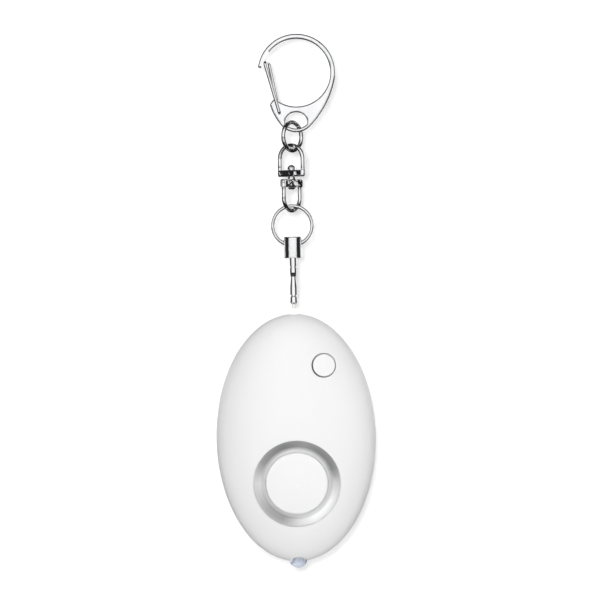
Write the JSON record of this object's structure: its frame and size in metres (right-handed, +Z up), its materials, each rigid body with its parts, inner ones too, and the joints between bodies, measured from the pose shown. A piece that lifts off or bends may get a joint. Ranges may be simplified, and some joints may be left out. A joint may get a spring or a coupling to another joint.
{
  "type": "personal safety alarm",
  "caption": "Egg-shaped key-chain alarm with a siren, torch button and lamp, its pull pin drawn clear on a ring, swivel and snap hook.",
  "frame": {"origin": "centre of the hook's round opening", "axes": "+Z up along the hanging chain, -Y towards the front with the siren, the button and the hook's flat face, +X to the right as seen from the front"},
  "size_m": [0.04, 0.0176, 0.1338],
  "materials": {
    "chrome_cast": "polished chrome plate on a casting",
    "chrome_wire": "polished chrome plate on wire",
    "chrome_ring": "bright nickel plate on thin wire",
    "chrome_turned": "polished chrome plate, turned",
    "steel_wire": "bright drawn steel",
    "steel_rivet": "bright steel, peened",
    "steel_pin": "bright turned steel",
    "black_plastic": "black, satin",
    "pale_plastic": "pale, satin",
    "casing_white": "white, satin gloss",
    "disc_white": "white, satin gloss",
    "button_white": "white, satin gloss",
    "satin_silver": "satin silver",
    "lamp_clear": "clear, faintly blue",
    "inner_plastic": "dark grey, as moulded",
    "foam_rubber": "black foam",
    "piezo_brass": "bare brass",
    "ceramic_white": "silvered ceramic",
    "lead_red": "red sleeving",
    "switch_black": "black, as moulded",
    "switch_stem": "pale, as moulded",
    "board_green": "green solder mask",
    "chip_black": "black epoxy",
    "ferrite_grey": "sintered ferrite",
    "copper_wire": "enamelled copper",
    "cell_steel": "bright nickel plate",
    "contact_nickel": "nickel plate",
    "lead_tin": "tinned wire",
    "screw_steel": "zinc plate"
  },
  "bodies": {
    "hook": {"hook_body": "chrome_cast"},
    "gate": {"hook_gate": "steel_wire"},
    "link": {"link_ring": "chrome_wire"},
    "upper_bail": {"swivel_bail_upper": "chrome_wire"},
    "lower_bail": {"swivel_bail_lower": "chrome_wire", "swivel_rivet": "steel_rivet"},
    "ring": {"jump_ring": "chrome_ring"},
    "pin": {"pin_collar": "chrome_turned", "pin_stem": "steel_pin", "pin_insulator": "black_plastic", "pin_tip": "steel_pin", "pin_nub": "pale_plastic"},
    "casing": {"front_shell": "casing_white", "rear_shell": "casing_white", "siren_bezel": "satin_silver", "siren_cover": "disc_white", "led_lamp": "lamp_clear", "siren_holder": "inner_plastic", "piezo_gasket": "foam_rubber", "piezo_plate": "piezo_brass", "piezo_ceramic": "ceramic_white", "piezo_leads": "lead_red", "torch_switch": "switch_black", "circuit_board": "board_green", "control_chip": "chip_black", "boost_coil": "ferrite_grey", "coil_winding": "copper_wire", "battery_cells": "cell_steel", "battery_cradle": "inner_plastic", "contact_plate": "contact_nickel", "contact_spring": "contact_nickel", "led_leads": "lead_tin", "pin_socket": "inner_plastic", "socket_contact": "contact_nickel", "case_screws": "screw_steel"},
    "button": {"torch_button": "button_white", "switch_plunger": "switch_stem"}
  },
  "joints": [
    {"name": "gate_pivot", "type": "hinge", "parent": "hook", "child": "gate", "pos_m": [-0.0044, 0, -0.01006], "axis": [0, 1, 0], "range_deg": [0, 35], "stiffness_Nm_per_rad": 0.02, "springref_deg": -11.46},
    {"name": "link_swing", "type": "hinge", "parent": "hook", "child": "link", "pos_m": [-0.0013, 0, -0.01403], "axis": [1, 0, 0], "range_deg": [-12, 60]},
    {"name": "upper_bail_swing", "type": "hinge", "parent": "link", "child": "upper_bail", "pos_m": [-0.0013, 0, -0.01945], "axis": [0.6428, 0.766, 0], "range_deg": [-80, 80]},
    {"name": "swivel_spin", "type": "hinge", "parent": "upper_bail", "child": "lower_bail", "pos_m": [-0.0017, 0, -0.026], "axis": [0, 0, 1], "continuous": true},
    {"name": "ring_swing", "type": "hinge", "parent": "lower_bail", "child": "ring", "pos_m": [-0.0017, 0, -0.03448], "axis": [0.6018, 0.7986, 0], "range_deg": [-80, 80]},
    {"name": "pin_swing", "type": "hinge", "parent": "ring", "child": "pin", "pos_m": [-0.0017, 0, -0.04299], "axis": [1, 0, 0], "range_deg": [-80, 80]},
    {"name": "pin_draw", "type": "slide", "parent": "pin", "child": "casing", "axis": [0, 0, 1], "range_m": [0, 0.0138]},
    {"name": "button_press", "type": "slide", "parent": "casing", "child": "button", "axis": [0, 1, 0], "range_m": [0, 0.0004], "stiffness_N_per_m": 500, "springref_m": -0.001}
  ]
}
